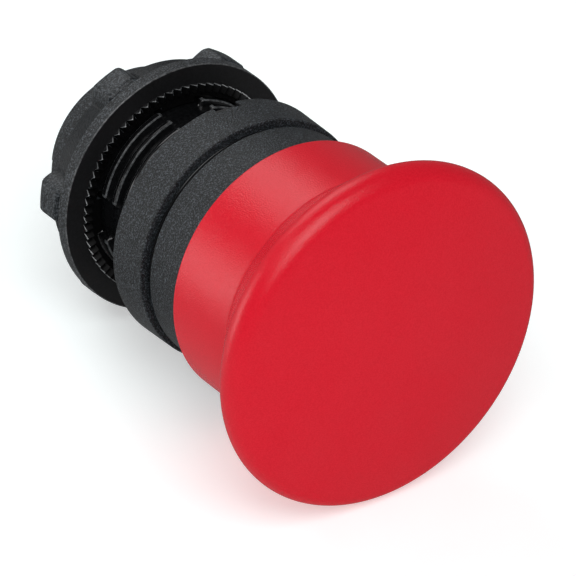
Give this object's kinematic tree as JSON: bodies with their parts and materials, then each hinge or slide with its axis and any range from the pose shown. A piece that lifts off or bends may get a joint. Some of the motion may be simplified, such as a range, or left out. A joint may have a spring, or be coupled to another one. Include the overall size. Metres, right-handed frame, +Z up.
{
  "type": "emergency stop button",
  "caption": "Red mushroom push head for a 22 mm panel hole, with a spring-return plunger, black bezel, threaded barrel, gasket, key, grip washer and lugged nut.",
  "frame": {"origin": "on the push axis, in the plane of the gasket's rear face, which is the plane of the panel's front face", "axes": "+Y along the push axis from the cap to the rear of the barrel, +Z up through the locating key at twelve o'clock, +X to the right seen from the front"},
  "size_m": [0.04, 0.054, 0.04],
  "materials": {
    "red_plastic": "satin moulded thermoplastic",
    "black_plastic": "fine spark-eroded texture",
    "smooth_black_plastic": "smooth moulded",
    "inner_plastic": "moulded",
    "pale_plastic": "natural acetal",
    "grey_plastic": "moulded",
    "gasket_rubber": "flat rubber sheet",
    "seal_rubber": "moulded rubber",
    "spring_steel": "drawn spring wire"
  },
  "bodies": {
    "housing": {"threaded_barrel": "black_plastic", "bezel_ring": "black_plastic", "locating_key": "grey_plastic", "panel_gasket": "gasket_rubber", "lip_seal": "seal_rubber", "seal_retainer": "pale_plastic", "guide_bush": "pale_plastic", "return_spring": "spring_steel", "rear_cap": "inner_plastic", "rear_circlip": "spring_steel"},
    "push_head": {"mushroom_cap": "red_plastic", "cap_core": "inner_plastic", "cap_snap_ring": "spring_steel", "plunger": "inner_plastic", "stop_buffer": "seal_rubber", "spring_seat": "pale_plastic", "contact_pusher": "pale_plastic", "pusher_clip": "spring_steel"},
    "washer": {"grip_washer": "smooth_black_plastic"},
    "nut": {"fixing_nut": "black_plastic"}
  },
  "joints": [
    {"name": "push", "type": "slide", "parent": "housing", "child": "push_head", "axis": [0, 1, 0], "range_m": [0, 0.0043], "stiffness_N_per_m": 1200, "springref_m": -0.004, "deforming": ["return_spring"]},
    {"name": "nut_travel", "type": "slide", "parent": "housing", "child": "washer", "axis": [0, 1, 0], "range_m": [-0.0062, 0.004]},
    {"name": "nut_turn", "type": "hinge", "parent": "washer", "child": "nut", "pos_m": [0, 0.0122, 0], "axis": [0, 1, 0], "range_deg": [-1119, 723]}
  ],
  "couplings": [
    {"joint": "nut_turn", "follows": "nut_travel", "rad_per_m": 3141.6}
  ]
}
